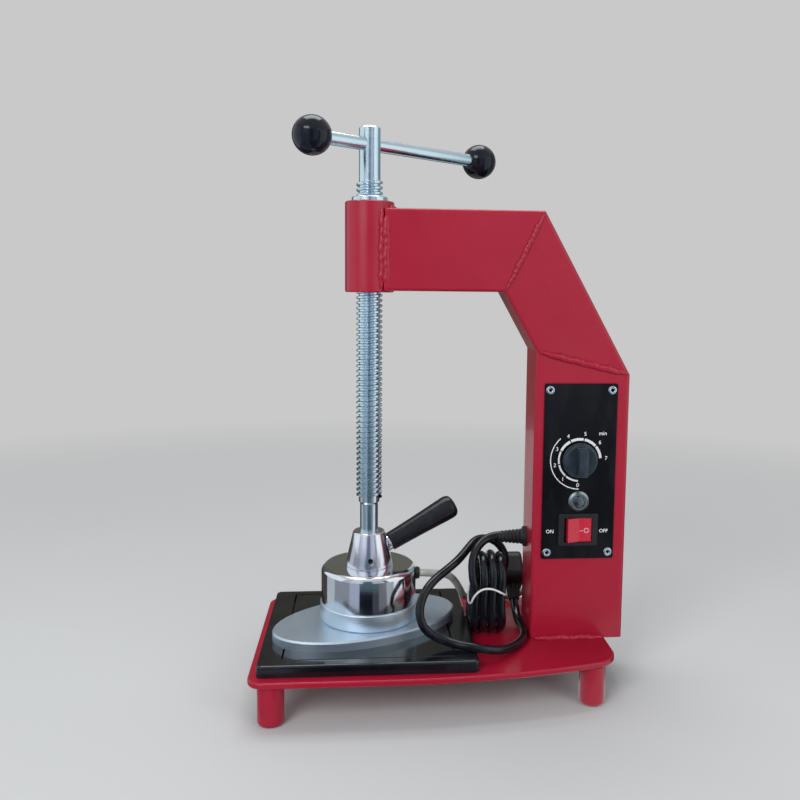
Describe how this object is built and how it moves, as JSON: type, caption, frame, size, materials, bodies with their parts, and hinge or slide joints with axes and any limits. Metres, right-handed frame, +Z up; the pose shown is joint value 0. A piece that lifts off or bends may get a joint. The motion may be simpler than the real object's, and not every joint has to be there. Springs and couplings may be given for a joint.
{
  "type": "tire vulcanizing machine",
  "caption": "Bench screw press for vulcanizing tyre patches: heated oval sole lowered by a tee-bar screw onto a black pad, with a timer panel on a red welded column.",
  "frame": {"origin": "on the press screw's axis, at the floor plane that the four legs stand on", "axes": "+Z up along the press screw, +X from the screw towards the control column, +Y away from the operator"},
  "size_m": [0.2836, 0.1717, 0.4266],
  "materials": {
    "red_paint": "gloss",
    "steel_zinc": "satin",
    "steel_turned": "satin",
    "chrome_shell": "mirror",
    "sole_aluminium": "satin",
    "black_gloss": "gloss",
    "black_grip": "satin",
    "panel_black": "satin",
    "switch_black": "satin",
    "rocker_face": "gloss",
    "lamp_lens": "clear",
    "cord_black": "satin",
    "lead_grey": "matte",
    "tie_white": "matte",
    "brass_pins": "polished",
    "timer_case": "satin",
    "element": "matte"
  },
  "bodies": {
    "frame": {"base_plate": "red_paint", "leg_pad_near": "red_paint", "leg_pad_far": "red_paint", "leg_column_near": "red_paint", "leg_column_far": "red_paint", "column": "red_paint", "neck": "red_paint", "arm": "red_paint", "screw_collar": "red_paint", "screw_bush": "steel_turned", "foot_weld": "red_paint", "seam_weld": "red_paint", "collar_weld": "red_paint", "press_pad": "black_gloss", "pad_insert": "black_gloss", "panel_plate": "panel_black", "panel_rivets": "steel_turned", "timer_case": "timer_case", "timer_nut": "steel_turned", "lamp_body": "switch_black", "lamp_lens": "lamp_lens", "switch_body": "switch_black", "cord_relief": "cord_black", "lead_grommet": "cord_black", "cord_lead": "cord_black", "cord_hank": "cord_black", "hank_tie": "tie_white", "cord_tail": "cord_black", "plug_body": "cord_black", "plug_pins": "brass_pins", "heater_lead": "lead_grey"},
    "carrier": {"thrust_washer": "steel_turned"},
    "screw": {"lead_screw": "steel_zinc"},
    "bar": {"tommy_bar": "steel_zinc", "bar_ball_near": "black_gloss", "bar_ball_far": "black_gloss"},
    "head": {"head_cone": "steel_zinc", "grub_screw": "steel_turned", "handle_stud": "steel_turned", "handle_grip": "black_grip", "chrome_shell": "chrome_shell", "lead_bushing": "cord_black", "heater_block": "sole_aluminium", "heating_element": "element", "thermostat": "timer_case", "sole_plate": "sole_aluminium"},
    "knob": {"timer_knob": "black_gloss", "timer_spindle": "steel_turned"},
    "rocker": {"rocker": "rocker_face"}
  },
  "joints": [
    {"name": "press_travel", "type": "slide", "parent": "frame", "child": "carrier", "axis": [0, 0, 1], "range_m": [0, 0.15], "deforming": ["heater_lead"]},
    {"name": "screw_spin", "type": "hinge", "parent": "carrier", "child": "screw", "pos_m": [0, 0, 0.25], "axis": [0, 0, 1], "range_deg": [0, 13500]},
    {"name": "bar_slide", "type": "slide", "parent": "screw", "child": "bar", "axis": [0.7738, 0.6334, 0], "range_m": [-0.097, 0.031]},
    {"name": "head_swivel", "type": "hinge", "parent": "carrier", "child": "head", "pos_m": [0, 0, 0.07], "axis": [0, 0, 1], "range_deg": [0, 45]},
    {"name": "timer_turn", "type": "hinge", "parent": "frame", "child": "knob", "pos_m": [0.1606, -0.0206, 0.1768], "axis": [0, 1, 0], "range_deg": [0, 270]},
    {"name": "rocker_tilt", "type": "hinge", "parent": "frame", "child": "rocker", "pos_m": [0.1606, -0.0176, 0.1223], "axis": [0, 0, -1], "range_deg": [0, 20]}
  ],
  "couplings": [
    {"joint": "screw_spin", "follows": "press_travel", "rad_per_m": 1570.8}
  ]
}
